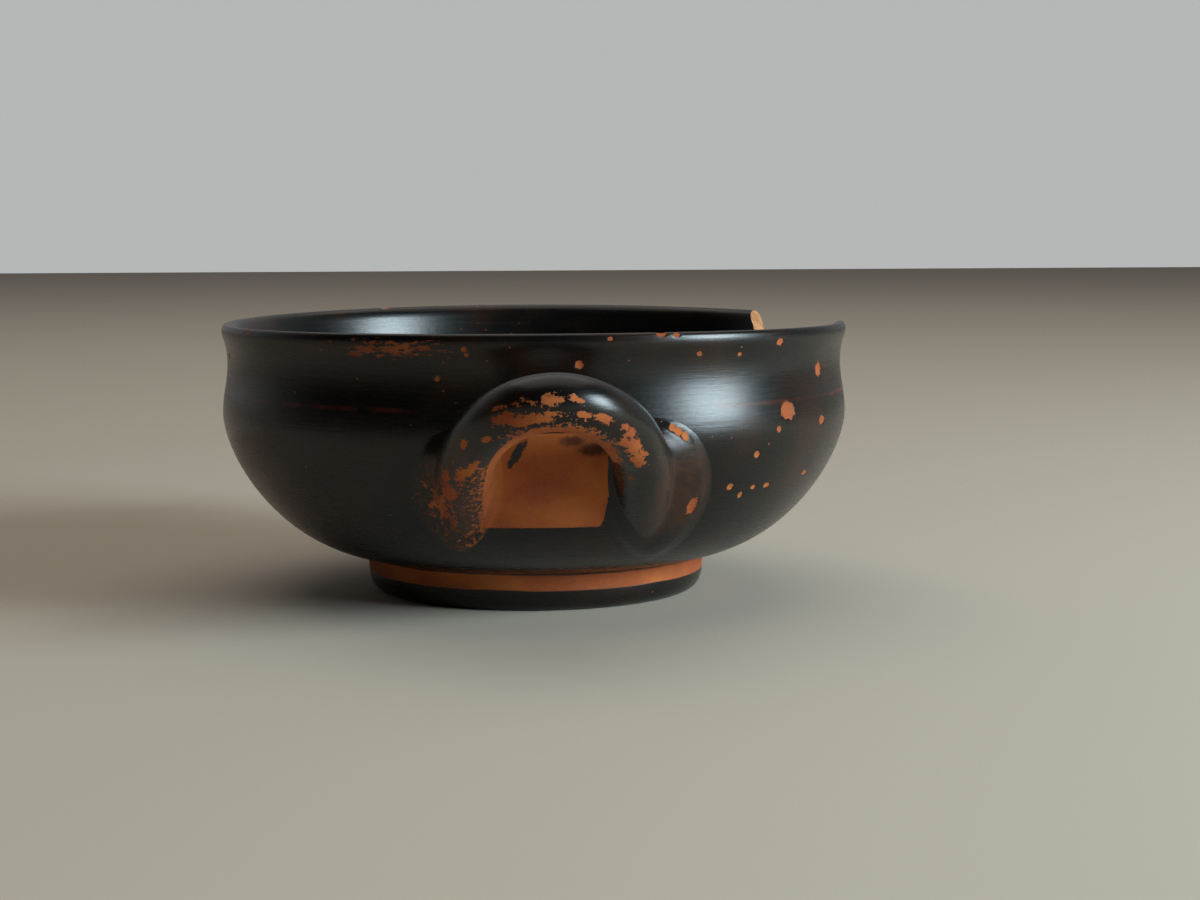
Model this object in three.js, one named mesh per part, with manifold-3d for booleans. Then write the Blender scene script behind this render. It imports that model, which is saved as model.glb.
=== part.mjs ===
// Stemless drinking cup (kylix) in black-gloss ware, thrown and fired in one piece:
// a shallow bowl with an inset lip, a low ring foot and two canted loop handles.
// Units are millimetres, +Z is up, the axis of the bowl is Z and the cup stands on Z = 0.
// The handles lie along -Y (front) and +Y (back). One piece of the rim is broken away.

import * as THREE from 'three';
import { mergeVertices } from 'three/addons/utils/BufferGeometryUtils.js';
import Module from 'manifold-3d';

// Ring foot
const restingInner = 29.8;
const restingOuter = 32.8;
const footRadius = 35.2;
const footBulge = 4.4;
const undersideRadius = 27.0;
const undersideHeight = 4.6;
const undersideDome = 1.0;
const footEdge = 0.9; // height at which the foot's rounded lower edge turns upright
const footTuck = 1.0; // how far below the joint the foot turns out again

// Outside of the bowl, from the foot up
const jointRadius = 36.2;
const jointHeight = 7.9;
const bellyRadius = 65.0;
const bellyHeight = 37.6;
const waistRadius = 63.9;
const waistHeight = 48.2;
const lipRadius = 65.15;
const lipHeight = 54.9;
const rimCrestRadius = 64.1;
const rimHeight = 56.3;

// How the outline swells between those places: where the curve leaves the joint, where the
// belly turns upright, and how far it runs upright above and below the belly and the waist
const lowerSwell = [54.4, 10.4];
const bellyTurn = 29.2;
const uprightRun = 4.0;
const lipFlare = [0.15, 1.7];

// Inside of the bowl: wall thicknesses and the height of the floor
const lipThickness = 3.2;
const waistThickness = 3.0;
const bellyThickness = 3.5;
const floorHeight = 10.0;
const floorRadius = 30.0;
const floorRise = 1.3;
const floorSwell = [50.5, 13.6];
const hollowTurn = 29.0;
const hollowRun = 2.0;
const innerLip = [0.6, 3.0];
const innerLipDrop = 1.0;
const innerLipRound = [0.4, 0.1];

// The rim sags a little at the sides and stands a little high at the handles, above warpStart
const rimWarp = 0.35;
const warpStart = 38.0;
const wallMargin = 0.1; // past the lip by more than this, a point belongs to a handle

// Loop handles: half an ellipse of round rod, in a plane canted up from the wall
const rodRadius = 5.2;
const loopHalfWidth = 16.5;
const loopLength = 32.1;
const loopSkew = 1.4;
const loopCant = THREE.MathUtils.degToRad(32);
const rootDistance = 60.8;
const rootHeight = 29.2;
const rootDepth = 12.0;
const flareWidth = 8.4;
const flareThickness = 5.7;
const flareLength = 14.0;
const flareSetback = 2.0;

// Missing piece of the rim, as the angle from +Y towards +X and the depth below the rim
const breakMiddle = 76;
const breakEdge = [[54.5, 0], [58.5, 6], [64, 12.5], [72, 15.5], [81, 14], [90.5, 8.5], [98.5, 0]];
const breakInner = 45;
const breakOuter = 85;
const headroom = 12;

// Facets
const turnSegments = 64;
const facetLength = 7;
const rodSides = 12;
const loopSteps = 24;
const flareFacets = [18, 12];

const gloss = new THREE.MeshStandardMaterial({
  name: 'black_gloss_ware',
  color: 0x14100e,
  roughness: 0.38,
  metalness: 0,
});

const wasm = await Module();
wasm.setup();

function toSolid(geometry) {
  const bare = geometry.clone();
  bare.deleteAttribute('normal');
  bare.deleteAttribute('uv');
  const merged = mergeVertices(bare, 1e-4);
  const vertProperties = new Float32Array(merged.attributes.position.array);
  const triVerts = new Uint32Array(merged.index.array);
  return new wasm.Manifold(new wasm.Mesh({ numProp: 3, vertProperties, triVerts }));
}

function toGeometry(solid) {
  const mesh = solid.getMesh();
  const geometry = new THREE.BufferGeometry();
  geometry.setAttribute('position', new THREE.BufferAttribute(new Float32Array(mesh.vertProperties), 3));
  geometry.setIndex(new THREE.BufferAttribute(new Uint32Array(mesh.triVerts), 1));
  geometry.computeVertexNormals();
  return geometry;
}

// Turns a radius-height outline about Z, with a few facets on its short curves and more on its long ones
function turned(path) {
  const points = path.curves.flatMap((curve) => {
    const facets = curve.isLineCurve ? 1 : Math.max(3, Math.round(curve.getLength() / facetLength));
    return curve.getPoints(facets).slice(0, facets);
  });
  points.push(path.getPoint(1));
  const geometry = new THREE.LatheGeometry(points, turnSegments);
  geometry.rotateX(Math.PI / 2);
  return geometry;
}

// Outline of foot and bowl as if the bowl were full, from the middle of the underside to the rim
function outsideOutline() {
  const path = new THREE.Path();
  path.moveTo(0, undersideHeight - undersideDome);
  path.quadraticCurveTo(undersideRadius / 2, undersideHeight - undersideDome, undersideRadius, undersideHeight);
  path.quadraticCurveTo(restingInner, undersideHeight - undersideDome, restingInner, 0);
  path.lineTo(restingOuter, 0);
  path.quadraticCurveTo(footRadius, footEdge, footRadius, footBulge);
  path.quadraticCurveTo(footRadius, jointHeight - footTuck, jointRadius, jointHeight);
  path.bezierCurveTo(...lowerSwell, bellyRadius, bellyTurn, bellyRadius, bellyHeight);
  path.bezierCurveTo(
    bellyRadius, bellyHeight + uprightRun, waistRadius, waistHeight - uprightRun, waistRadius, waistHeight,
  );
  path.bezierCurveTo(
    waistRadius, waistHeight + uprightRun, lipRadius - lipFlare[0], lipHeight - lipFlare[1], lipRadius, lipHeight,
  );
  path.quadraticCurveTo(lipRadius, rimHeight, rimCrestRadius, rimHeight);
  path.lineTo(0, rimHeight);
  return path;
}

// The hollow of the bowl as a solid, from its floor up past the rim
function hollowOutline() {
  const lip = lipRadius - lipThickness;
  const waist = waistRadius - waistThickness;
  const belly = bellyRadius - bellyThickness;
  const path = new THREE.Path();
  path.moveTo(0, floorHeight);
  path.quadraticCurveTo(floorRadius / 2, floorHeight, floorRadius, floorHeight + floorRise);
  path.bezierCurveTo(...floorSwell, belly, hollowTurn, belly, bellyHeight);
  path.bezierCurveTo(belly, bellyHeight + uprightRun, waist, waistHeight - uprightRun, waist, waistHeight);
  path.bezierCurveTo(
    waist, waistHeight + hollowRun, lip - innerLip[0], lipHeight - innerLip[1], lip, lipHeight - innerLipDrop,
  );
  path.quadraticCurveTo(lip + innerLipRound[0], rimHeight - innerLipRound[1], rimCrestRadius, rimHeight);
  path.lineTo(rimCrestRadius, rimHeight + headroom);
  path.lineTo(0, rimHeight + headroom);
  return path;
}

// Centre line of a loop: straight into the wall at each root, half an ellipse between them
class LoopCurve extends THREE.Curve {
  getPoint(t, target = new THREE.Vector3()) {
    const arc = Math.PI * Math.sqrt((loopHalfWidth ** 2 + loopLength ** 2) / 2);
    const along = t * (arc + 2 * rootDepth) - rootDepth;
    const turn = THREE.MathUtils.clamp(along / arc, 0, 1) * Math.PI;
    const buried = Math.max(0, -along) + Math.max(0, along - arc);
    const reach = loopLength * Math.sin(turn) - buried;
    return target.set(
      -loopHalfWidth * Math.cos(turn) - loopSkew * Math.sin(turn),
      -rootDistance - reach * Math.cos(loopCant),
      rootHeight + reach * Math.sin(loopCant),
    );
  }
}

function rod() {
  const section = new THREE.Shape();
  section.absarc(0, 0, rodRadius, 0, 2 * Math.PI);
  return new THREE.ExtrudeGeometry(section, {
    steps: loopSteps,
    curveSegments: rodSides,
    bevelEnabled: false,
    extrudePath: new LoopCurve(),
  });
}

// Clay drawn out over the wall at one root, in line with the arm of the loop
function rootFlare(side) {
  const flare = new THREE.SphereGeometry(1, ...flareFacets);
  flare.scale(flareWidth, flareLength, flareThickness);
  flare.rotateX(-loopCant);
  flare.translate(side * loopHalfWidth, flareSetback - rootDistance, rootHeight - flareSetback * Math.tan(loopCant));
  return flare;
}

function handle() {
  let solid = toSolid(rod());
  for (const side of [-1, 1]) {
    solid = solid.add(toSolid(rootFlare(side)));
  }
  return solid;
}

// Radial wedge that takes the missing piece out of the rim
function breakCutter() {
  const shape = new THREE.Shape();
  const across = (angle) => bellyRadius * Math.tan(THREE.MathUtils.degToRad(breakMiddle - angle));
  const [first] = breakEdge;
  const last = breakEdge[breakEdge.length - 1];
  shape.moveTo(across(first[0]), rimHeight + headroom);
  for (const [angle, depth] of breakEdge) {
    shape.lineTo(across(angle), rimHeight - depth);
  }
  shape.lineTo(across(last[0]), rimHeight + headroom);
  const geometry = new THREE.ExtrudeGeometry(shape, { depth: breakOuter - breakInner, bevelEnabled: false });
  geometry.rotateX(Math.PI / 2);
  geometry.translate(0, breakOuter, 0);
  const position = geometry.attributes.position;
  for (let i = 0; i < position.count; i += 1) {
    position.setX(i, (position.getX(i) * position.getY(i)) / bellyRadius);
  }
  geometry.rotateZ(-THREE.MathUtils.degToRad(breakMiddle));
  return geometry;
}

// Lifts the rim at the handles and drops it at the sides
function warpRim(geometry) {
  const position = geometry.attributes.position;
  for (let i = 0; i < position.count; i += 1) {
    const x = position.getX(i);
    const y = position.getY(i);
    const z = position.getZ(i);
    const share = THREE.MathUtils.clamp((z - warpStart) / (rimHeight - warpStart), 0, 1);
    const lift = -rimWarp * share * share * Math.cos(2 * Math.atan2(y, x));
    const isWall = Math.hypot(x, y) < lipRadius + wallMargin;
    position.setZ(i, isWall ? z + lift : z);
  }
  geometry.computeVertexNormals();
  return geometry;
}

function buildCup() {
  const front = handle();
  const back = front.rotate([0, 0, 180]);
  const full = toSolid(turned(outsideOutline())).add(front).add(back);
  const hollowed = full.subtract(toSolid(turned(hollowOutline())));
  const broken = hollowed.subtract(toSolid(breakCutter()));
  const cup = new THREE.Mesh(warpRim(toGeometry(broken)), gloss);
  cup.name = 'cup';
  return cup;
}

const model = new THREE.Group();
model.name = 'stemless_kylix';
model.add(buildCup());

export default model;
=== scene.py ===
import bisect
import math

import bmesh
import bpy
from mathutils import Matrix, Vector, noise
from mathutils.geometry import interpolate_bezier
from mathutils.kdtree import KDTree


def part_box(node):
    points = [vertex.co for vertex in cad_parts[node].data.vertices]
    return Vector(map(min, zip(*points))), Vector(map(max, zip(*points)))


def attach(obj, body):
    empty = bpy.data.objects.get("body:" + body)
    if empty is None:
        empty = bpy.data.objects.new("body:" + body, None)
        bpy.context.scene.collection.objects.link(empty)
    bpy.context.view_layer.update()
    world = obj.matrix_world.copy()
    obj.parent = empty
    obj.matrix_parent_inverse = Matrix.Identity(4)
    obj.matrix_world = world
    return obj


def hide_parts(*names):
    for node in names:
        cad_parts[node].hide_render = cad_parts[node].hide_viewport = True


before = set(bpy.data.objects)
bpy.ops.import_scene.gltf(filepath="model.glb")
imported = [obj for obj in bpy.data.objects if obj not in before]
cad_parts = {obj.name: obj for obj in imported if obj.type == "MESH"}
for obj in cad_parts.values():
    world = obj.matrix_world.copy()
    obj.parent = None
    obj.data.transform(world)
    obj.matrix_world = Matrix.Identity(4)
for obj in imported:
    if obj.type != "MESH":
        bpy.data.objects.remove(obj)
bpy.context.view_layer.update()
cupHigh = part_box("cup")[1]
toMetres = 0.001  # everything is modelled in millimetres and scaled once at the end

cup = {
    "lipRadius": cupHigh.x / toMetres,
    "rimWarp": 0.35,  # the rim stands high at the handles and sags at the sides by this much
    "warpStart": 38.0,
    "rimCrestRadius": 64.1,
    "lipHeight": 54.9,
    "waistRadius": 63.9,
    "waistHeight": 48.2,
    "bellyRadius": 65.0,
    "bellyHeight": 37.6,
    "jointRadius": 36.2,  # where the ring foot meets the bowl
    "jointHeight": 7.9,
    "footRadius": 35.2,
    "footBulge": 4.4,
    "restingOuter": 32.8,
    "restingInner": 29.8,
    "undersideRadius": 27.0,
    "undersideHeight": 4.6,
    "undersideDome": 1.0,
    "floorHeight": 10.0,
    "floorRadius": 30.0,
    "floorRise": 1.3,
    "bellyThickness": 3.5,
    "waistThickness": 3.0,
    "lipThickness": 3.2,
    "grooveHeight": 42.35,  # a fine line scraped through the slip
    "grooveWidth": 0.5,
    "grooveDepth": 0.05,
    "columns": 360,  # steps of the spin
    "rowHeight": 1.1,
    "hollowRow": 1.3,
    "hiddenRow": 1.8,  # coarser rows under the foot and on the floor of the bowl
    "footRow": 0.7,
    "lipRow": 0.9,
    "rimRow": 0.45,
    "innerRimRow": 0.5,
    # how the outline swells between those places: the corners that its curves lean towards
    "footEdge": 0.9,
    "footTuck": 1.0,
    "lowerSwell": (54.4, 10.4),
    "bellyTurn": 29.2,
    "uprightRun": 4.0,
    "lipFlare": (65.0, 53.2),
    "floorSwell": (50.5, 13.6),
    "hollowTurn": 29.0,
    "hollowFlare": 50.2,
    "innerLip": (61.35, 51.9),
    "innerLipDrop": 1.0,
    "innerRimCorner": (62.35, 56.2),
    "ridgeDepth": 0.035,  # throwing ridges
    "ridgeSpacing": 1.7,
    "ridgeLength": 60,
    "ridgesFrom": 40,  # out from this radius
}
cup["rimHeight"] = cupHigh.z / toMetres - cup["rimWarp"]
finishes = ("brushedBlackSlip", "tornFiredClay")
weldDistance = 0.01
nowhere = -6  # millimetres outside anything painted

loop = {
    "rodRadius": 5.2,
    "halfWidth": 16.5,
    "skew": 1.4,
    "cant": math.radians(32),
    "rootDistance": 60.8,
    "rootHeight": 29.2,
    "rootSwell": 0.45,  # the arms thicken towards the wall
    "swellLength": 16.0,
    "curveSteps": 720,
    "sides": 64,
    "ringSpacing": 0.95,
    "slantRings": 13,
    "slantEnd": 14.0,  # from here on the rings stand square to the rod
    "slantCrowding": 1.15,  # the slanted rings stand closer together at the wall
    "smearRings": 10,
    "smearReach": 1.2,
    "smearClimb": 0.55,  # a wide smear also climbs further up the rod
    "padThickness": {"leftRoot": 0.35, "rightRoot": 0.8},
    "padRise": 0.3,  # shares of the smear over which the pad swells and dies away
    "padFall": 0.45,
    "fullPadWidth": 4.0,
    "lumps": 0.07,  # hand-rolled, so the rod is a little uneven
    "lumpSize": 5,
    "shrinkage": 0.08,  # keeps the lumps inside the rod's stated size
    "relaxRounds": 40,
    "relaxReach": 26,
    "relaxFrom": 12,
    "grooveGap": 0.6,
    "window": 16,  # columns and rows of the wall that each root replaces
    # how far the clay is smeared out on the wall, on each side of the rod
    "leftRoot": {"outer": 5.0, "top": 3.0, "inner": 1.8, "under": 2.6},
    "rightRoot": {"outer": 9.0, "top": 4.2, "inner": 2.0, "under": 4.5},
}

# the lost piece of the rim: degrees from +Y towards +X, and millimetres below the rim
breakage = {
    "edge": [(54.5, 0), (58.5, 6), (64, 12.5), (72, 15.5), (81, 14), (90.5, 8.5), (98.5, 0)],
    "inner": 56.0,
    "outer": 69.0,
    "headroom": 6.0,
    "step": 0.75,
    "roughness": 0.55,
    "grain": 0.22,
    "seed": 5,  # keeps the fracture the same on every run
}


def cornerPiece(start, corner, end, spacing):
    first = [a + (b - a) * 2 / 3 for a, b in zip(start, corner)]
    second = [a + (b - a) * 2 / 3 for a, b in zip(end, corner)]
    return curvePiece(start, first, second, end, spacing)


def curvePiece(start, first, second, end, spacing):
    points = [Vector((r, 0, z)) for r, z in (start, first, second, end)]
    rough = interpolate_bezier(*points, 24)
    length = sum((b - a).length for a, b in zip(rough, rough[1:]))
    return interpolate_bezier(*points, max(2, round(length / spacing)) + 1)


def joined(pieces):
    outline = [Vector((point.x, 0, point.z)) for point in pieces[0]]
    for piece in pieces[1:]:
        outline += [Vector((point.x, 0, point.z)) for point in piece[1:]]
    return outline


def outsideOutline():
    row, upright = cup["rowHeight"], cup["uprightRun"]
    dome = cup["undersideHeight"] - cup["undersideDome"]
    middle = (0, dome)
    underside = (cup["undersideRadius"], cup["undersideHeight"])
    inner = (cup["restingInner"], 0)
    outer = (cup["restingOuter"], 0)
    bulge = (cup["footRadius"], cup["footBulge"])
    joint = (cup["jointRadius"], cup["jointHeight"])
    belly = (cup["bellyRadius"], cup["bellyHeight"])
    waist = (cup["waistRadius"], cup["waistHeight"])
    lip = (cup["lipRadius"], cup["lipHeight"])
    crest = (cup["rimCrestRadius"], cup["rimHeight"])
    return joined([
        cornerPiece(middle, (underside[0] / 2, dome), underside, cup["hiddenRow"]),
        cornerPiece(underside, (inner[0], dome), inner, row),
        cornerPiece(inner, ((inner[0] + outer[0]) / 2, 0), outer, row),
        cornerPiece(outer, (bulge[0], cup["footEdge"]), bulge, cup["footRow"]),
        cornerPiece(bulge, (bulge[0], joint[1] - cup["footTuck"]), joint, cup["footRow"]),
        curvePiece(joint, cup["lowerSwell"], (belly[0], cup["bellyTurn"]), belly, row),
        curvePiece(belly, (belly[0], belly[1] + upright), (waist[0], waist[1] - upright), waist, row),
        curvePiece(waist, (waist[0], waist[1] + upright), cup["lipFlare"], lip, cup["lipRow"]),
        cornerPiece(lip, (lip[0], crest[1]), crest, cup["rimRow"]),
    ])


def hollowOutline():
    row, upright = cup["hollowRow"], cup["uprightRun"]
    middle = (0, cup["floorHeight"])
    floor = (cup["floorRadius"], cup["floorHeight"] + cup["floorRise"])
    belly = (cup["bellyRadius"] - cup["bellyThickness"], cup["bellyHeight"])
    waist = (cup["waistRadius"] - cup["waistThickness"], cup["waistHeight"])
    lip = (cup["lipRadius"] - cup["lipThickness"], cup["lipHeight"] - cup["innerLipDrop"])
    crest = (cup["rimCrestRadius"], cup["rimHeight"])
    return joined([
        cornerPiece(middle, (floor[0] / 2, middle[1]), floor, cup["hiddenRow"]),
        curvePiece(floor, cup["floorSwell"], (belly[0], cup["hollowTurn"]), belly, row),
        curvePiece(belly, (belly[0], belly[1] + upright), (waist[0], waist[1] - upright), waist, row),
        curvePiece(waist, (waist[0], cup["hollowFlare"]), cup["innerLip"], lip, cup["rowHeight"]),
        cornerPiece(lip, cup["innerRimCorner"], crest, cup["innerRimRow"]),
    ])


outside = outsideOutline()
hollow = hollowOutline()
wallRows = [point for point in outside if point.z >= cup["jointHeight"]]
wallHeights = [point.z for point in wallRows]


def wallRadius(z):
    # radius of the outer wall at a height between the foot and the rim
    place = min(max(bisect.bisect(wallHeights, z), 1), len(wallRows) - 1)
    low, high = wallRows[place - 1], wallRows[place]
    share = (z - low.z) / (high.z - low.z)
    return low.x + (high.x - low.x) * share


def wallPoint(azimuth, z):
    # azimuth in degrees from the front handle towards +X
    turn = math.radians(azimuth)
    radius = wallRadius(z)
    return Vector((radius * math.sin(turn), -radius * math.cos(turn), z))


def azimuthOf(point):
    return math.degrees(math.atan2(point.x, -point.y))


def grooved(outline):
    # the scraped line takes the place of the rows that it crosses
    height, half = cup["grooveHeight"], cup["grooveWidth"] / 2
    below = [point for point in outline if point.z < height - half * 1.6]
    above = [point for point in outline if point.z > height + half * 1.6]
    edge = [(-half, 0), (-half * 0.35, cup["grooveDepth"]),
            (half * 0.35, cup["grooveDepth"]), (half, 0)]
    line = [Vector((wallRadius(height + up) - depth, 0, height + up)) for up, depth in edge]
    return below + line + above


def spunBowl():
    bm = bmesh.new()
    outline = grooved(outside) + list(reversed(hollow))[1:]
    ring = [bm.verts.new((0, -point.x, point.z)) for point in outline]
    for a, b in zip(ring, ring[1:]):
        bm.edges.new((a, b))
    bmesh.ops.spin(bm, geom=bm.verts[:] + bm.edges[:], cent=(0, 0, 0), axis=(0, 0, 1),
                   angle=math.tau, steps=cup["columns"], use_merge=True)
    poles = [v for v in bm.verts if math.hypot(v.co.x, v.co.y) < weldDistance]
    bmesh.ops.remove_doubles(bm, verts=poles, dist=weldDistance)
    bmesh.ops.recalc_face_normals(bm, faces=bm.faces[:])
    return bm


def breakPoint(angle, radius, z):
    turn = math.radians(angle)
    return Vector((radius * math.sin(turn), radius * math.cos(turn), z))


def breakLine():
    # the break's edge walked in short steps, with its own small steps and hooks
    meanRadius = (breakage["inner"] + breakage["outer"]) / 2
    perDegree = math.radians(meanRadius)
    first, last = breakage["edge"][0], breakage["edge"][-1]
    knots = [(first[0] - 4, -breakage["headroom"])] + breakage["edge"]
    knots.append((last[0] + 3, -breakage["headroom"]))
    line = []
    for (angleA, depthA), (angleB, depthB) in zip(knots, knots[1:]):
        run = math.hypot((angleB - angleA) * perDegree, depthB - depthA)
        count = max(1, round(run / breakage["step"]))
        for i in range(count):
            share = i / count
            line.append((angleA + (angleB - angleA) * share, depthA + (depthB - depthA) * share))
    line.append(knots[-1])
    return line


def breakCutter():
    # a wedge through the wall whose sides and floor are the fracture
    noise.seed_set(breakage["seed"])
    bm = bmesh.new()
    rim = cup["rimHeight"]
    lid = rim + breakage["headroom"] * 1.5
    pairs = []
    for angle, depth in breakLine():
        low = bm.verts.new(breakPoint(angle, breakage["inner"], rim - depth))
        pairs.append((low, bm.verts.new(breakPoint(angle, breakage["inner"], lid))))
    front = [bm.faces.new((a[0], b[0], b[1], a[1])) for a, b in zip(pairs, pairs[1:])]
    steps = round((breakage["outer"] - breakage["inner"]) / breakage["step"])
    for i in range(steps):
        grown = bmesh.ops.extrude_face_region(bm, geom=front)["geom"]
        inside = [f for f in front if f.is_valid and i > 0]
        bmesh.ops.delete(bm, geom=inside, context="FACES_ONLY")
        front = [f for f in grown if isinstance(f, bmesh.types.BMFace)]
        radius = breakage["inner"] + (i + 1) * breakage["step"]
        for v in [v for v in grown if isinstance(v, bmesh.types.BMVert)]:
            v.co.xy = v.co.xy.normalized() * radius
    for v in bm.verts:
        if v.co.z < rim + breakage["headroom"] * 0.7:
            coarse = noise.noise_vector(v.co / 4.5)
            fine = noise.noise_vector(v.co / 1.1 + Vector((31, 7, 12)))
            v.co += coarse * breakage["roughness"] + fine * breakage["grain"]
    bmesh.ops.recalc_face_normals(bm, faces=bm.faces[:])
    return bm


def toObject(bm, name, scale=1.0):
    mesh = bpy.data.meshes.new(name)
    bmesh.ops.scale(bm, vec=(scale, scale, scale), verts=bm.verts[:])
    bm.to_mesh(mesh)
    bm.free()
    thing = bpy.data.objects.new(name, mesh)
    bpy.context.scene.collection.objects.link(thing)
    return thing


def brokenBowl():
    bowl = toObject(spunBowl(), "spun_bowl")
    cutter = toObject(breakCutter(), "break_cutter")
    for thing in (bowl, cutter):
        for name in finishes:
            thing.data.materials.append(bpy.data.materials.get(name) or bpy.data.materials.new(name))
    for polygon in cutter.data.polygons:
        polygon.material_index = 1
    cut = bowl.modifiers.new("break", "BOOLEAN")
    cut.operation = "DIFFERENCE"
    cut.solver = "EXACT"
    cut.material_mode = "INDEX"
    cut.object = cutter
    graph = bpy.context.evaluated_depsgraph_get()
    cutMesh = bpy.data.meshes.new_from_object(bowl.evaluated_get(graph))
    bm = bmesh.new()
    bm.from_mesh(cutMesh)
    for thing in (bowl, cutter):
        bpy.data.objects.remove(thing)
    bmesh.ops.remove_doubles(bm, verts=bm.verts[:], dist=weldDistance)
    return bm


# the centre line of a handle: half an ellipse in a plane that leans up from the wall
loopReach = (cupHigh.y / toMetres - loop["rodRadius"] - loop["rootDistance"]) / math.cos(loop["cant"])
loopNormal = Vector((0, math.sin(loop["cant"]), math.cos(loop["cant"])))
loopCurve = []
for i in range(loop["curveSteps"] + 1):
    t = math.pi * i / loop["curveSteps"]
    loopCurve.append(Vector((
        -loop["halfWidth"] * math.cos(t) - loop["skew"] * math.sin(t),
        -loop["rootDistance"] - loopReach * math.sin(t) * math.cos(loop["cant"]),
        loop["rootHeight"] + loopReach * math.sin(t) * math.sin(loop["cant"]))))
loopLengths = [0]
for a, b in zip(loopCurve, loopCurve[1:]):
    loopLengths.append(loopLengths[-1] + (b - a).length)
loopLength = loopLengths[-1]


def loopPoint(along):
    # a place on the centre line, which runs straight on into the wall past both roots
    if along <= 0:
        return loopCurve[0] + (loopCurve[0] - loopCurve[1]).normalized() * -along
    if along >= loopLength:
        return loopCurve[-1] + (loopCurve[-1] - loopCurve[-2]).normalized() * (along - loopLength)
    place = bisect.bisect(loopLengths, along)
    share = (along - loopLengths[place - 1]) / (loopLengths[place] - loopLengths[place - 1])
    return loopCurve[place - 1].lerp(loopCurve[place], share)


def loopFrame(along):
    # the centre line's place and the way out from the hole, square to it
    tangent = (loopPoint(along + 0.2) - loopPoint(along - 0.2)).normalized()
    return loopPoint(along), tangent.cross(loopNormal)


def smooth(low, high, value):
    # 0 below low and 1 above high, with a soft rise between
    share = min(max((value - low) / (high - low), 0), 1)
    return share * share * (3 - 2 * share)


def rodPoint(along, around, uneven=True):
    # around in degrees: 0 away from the hole, 90 up, 180 towards the hole, 270 down
    centre, outward = loopFrame(along)
    turn = math.radians(around)
    fromRoot = min(along, loopLength - along)
    radius = loop["rodRadius"] - loop["shrinkage"]
    radius += loop["rootSwell"] * (1 - smooth(0, loop["swellLength"], fromRoot))
    side = outward * math.cos(turn) + loopNormal * math.sin(turn)
    if uneven:
        radius += loop["lumps"] * noise.noise((centre + side * radius) / loop["lumpSize"])
    return centre + side * radius


def meeting(side, around):
    # how far along the rod, from the root, its surface dives into the wall
    low, high = -18.0, 12.0  # surely inside the wall, surely outside it
    for i in range(24):
        middle = (low + high) / 2
        point = rodPoint(stationOf(side, middle), around, False)
        if math.hypot(point.x, point.y) < wallRadius(point.z):
            low = middle
        else:
            high = middle
    return high


def stationOf(side, fromRoot):
    return fromRoot if side == "leftRoot" else loopLength - fromRoot


def smearWidth(side, around):
    across, up = math.cos(math.radians(around)), math.sin(math.radians(around))
    sizes = loop[side]
    return (sizes["outer"] if across > 0 else sizes["inner"]) * across ** 2 + \
        (sizes["top"] if up > 0 else sizes["under"]) * up ** 2


def footprint(side, arounds):
    # where the smeared clay ends on the wall, one point for each line of the rod,
    # with the direction in which it rises along the wall towards the root
    spots = []
    for around in arounds:
        point = rodPoint(stationOf(side, meeting(side, around)), around, False)
        spots.append(Vector((azimuthOf(point) * perDegree(point.z), point.z)))
    middle = sum(spots, Vector((0, 0))) / len(spots)
    ends = []
    for around, spot in zip(arounds, spots):
        away = (spot - middle).normalized()
        reach = spot + away * smearWidth(side, around)
        end = wallPoint(reach.x / perDegree(reach.y), reach.y)
        nearer = reach - away * 0.5
        inward = wallPoint(nearer.x / perDegree(nearer.y), nearer.y) - end
        ends.append((end, inward.normalized()))
    return middle.x / perDegree(middle.y), middle.y, ends


def perDegree(z):
    return math.radians(wallRadius(z))


def aligned(ringVerts, targets, azimuth, height):
    # both rings in the same turning order, started where they lie closest
    def bearing(point):
        return math.atan2(point.z - height, (azimuthOf(point) - azimuth) * perDegree(point.z))

    ringVerts = sorted(ringVerts, key=lambda v: bearing(v.co))
    targets = sorted(targets, key=bearing)
    count = len(targets)
    shift = min(range(count), key=lambda turn: sum(
        (v.co - targets[(i + turn) % count]).length for i, v in enumerate(ringVerts)))
    return [(v, targets[(i + shift) % count]) for i, v in enumerate(ringVerts)]


def openRoot(bm, azimuth, height, ends):
    # takes a window out of the wall and shapes its edge to the footprint
    columnStep = 360 / cup["columns"]
    count = loop["window"]
    firstColumn = round(azimuth / columnStep - count / 2)
    rows = [point.z for point in grooved(outside) if point.z >= cup["jointHeight"]]
    firstRow = bisect.bisect(rows, height) - count // 2
    lowest, highest = rows[firstRow], rows[firstRow + count]
    window = []
    for face in bm.faces:
        centre = face.calc_center_median()
        column = azimuthOf(centre) / columnStep
        if lowest < centre.z < highest and firstColumn < column < firstColumn + count:
            if math.hypot(centre.x, centre.y) > wallRadius(centre.z) - 1:
                window.append(face)
    bmesh.ops.delete(bm, geom=window, context="FACES")
    ring = [v for v in bm.verts if v.is_boundary and abs(azimuthOf(v.co) - azimuth) < count]
    for vert, target in aligned(ring, ends, azimuth, height):
        vert.co = target
    return ring


def relax(bm, ring, azimuth, height):
    # evens out the wall round a root, and keeps it on the wall's own curve
    pinned = set(ring)
    near = []
    for v in bm.verts:
        if v in pinned or not loop["relaxFrom"] < v.co.z < cup["grooveHeight"] - loop["grooveGap"]:
            continue
        across = (azimuthOf(v.co) - azimuth) * perDegree(v.co.z)
        offWall = abs(math.hypot(v.co.x, v.co.y) - wallRadius(v.co.z))
        if offWall < 0.3 and math.hypot(across, v.co.z - height) < loop["relaxReach"]:
            near.append(v)
    for i in range(loop["relaxRounds"]):
        bmesh.ops.smooth_vert(bm, verts=near, factor=0.5,
                              use_axis_x=True, use_axis_y=True, use_axis_z=True)
        for v in near:
            v.co.xy = v.co.xy.normalized() * wallRadius(v.co.z)


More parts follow.
